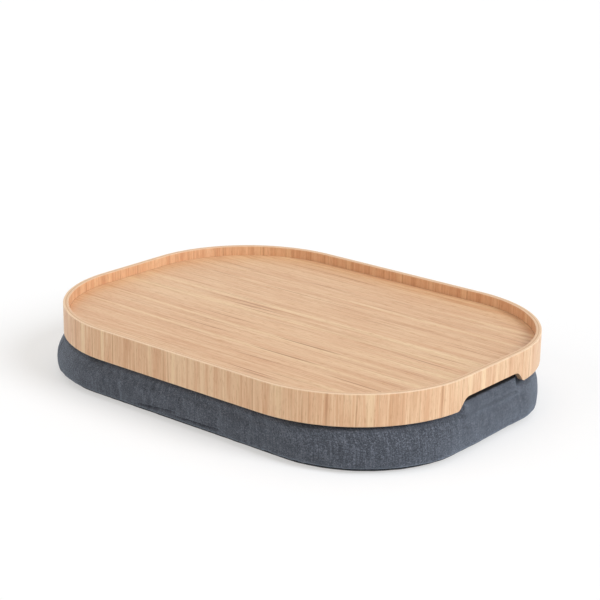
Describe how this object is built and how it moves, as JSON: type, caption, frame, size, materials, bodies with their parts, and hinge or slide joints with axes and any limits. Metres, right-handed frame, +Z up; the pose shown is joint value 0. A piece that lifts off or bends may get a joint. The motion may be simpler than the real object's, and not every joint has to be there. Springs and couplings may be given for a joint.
{
  "type": "lap tray with cushion",
  "caption": "Rounded wooden lap tray with a raised rim and hand grips, on a removable soft fabric cushion with a zip.",
  "frame": {"origin": "on the floor under the middle of the cushion's base", "axes": "+X along the tray's long side, +Y towards the back edge with the zip, +Z up"},
  "size_m": [0.472, 0.345, 0.0725],
  "materials": {
    "rim_face": "satin",
    "rim_ply": "satin",
    "deck_face": "satin",
    "deck_ply": "matte",
    "hook_tape": "matte",
    "loop_tape": "matte",
    "cover_fabric": "matte",
    "base_fabric": "matte",
    "liner_fabric": "matte",
    "beads": "matte",
    "zip_tape": "matte",
    "zip_teeth": "satin",
    "zip_metal": "satin"
  },
  "bodies": {
    "cushion": {"cover_top_panel": "cover_fabric", "cover_side_band": "cover_fabric", "cover_base_panel": "base_fabric", "liner_bag": "liner_fabric", "bead_fill": "beads", "loop_strips": "loop_tape", "zip_tape_upper": "zip_tape", "zip_tape_lower": "zip_tape", "zip_teeth_upper": "zip_teeth", "zip_teeth_lower": "zip_teeth", "zip_end_stops": "zip_metal"},
    "tray": {"rim_core": "rim_ply", "rim_outer_veneer": "rim_face", "rim_inner_veneer_upper": "rim_face", "rim_inner_veneer_lower": "rim_face", "deck_core": "deck_ply", "deck_top_veneer": "deck_face", "deck_bottom_veneer": "deck_face", "hook_strips": "hook_tape"},
    "slider": {"zip_slider": "zip_metal"},
    "pull": {"zip_pull": "zip_metal"}
  },
  "joints": [
    {"name": "tray_lift", "type": "slide", "parent": "cushion", "child": "tray", "axis": [0, 0, 1], "range_m": [0, 0.06]},
    {"name": "zip_run", "type": "slide", "parent": "cushion", "child": "slider", "axis": [-1, 0, 0], "range_m": [0, 0.209]},
    {"name": "pull_swing", "type": "hinge", "parent": "slider", "child": "pull", "pos_m": [0.1045, 0.16725, 0.015], "axis": [0, 0, -1], "range_deg": [0, 170]}
  ]
}
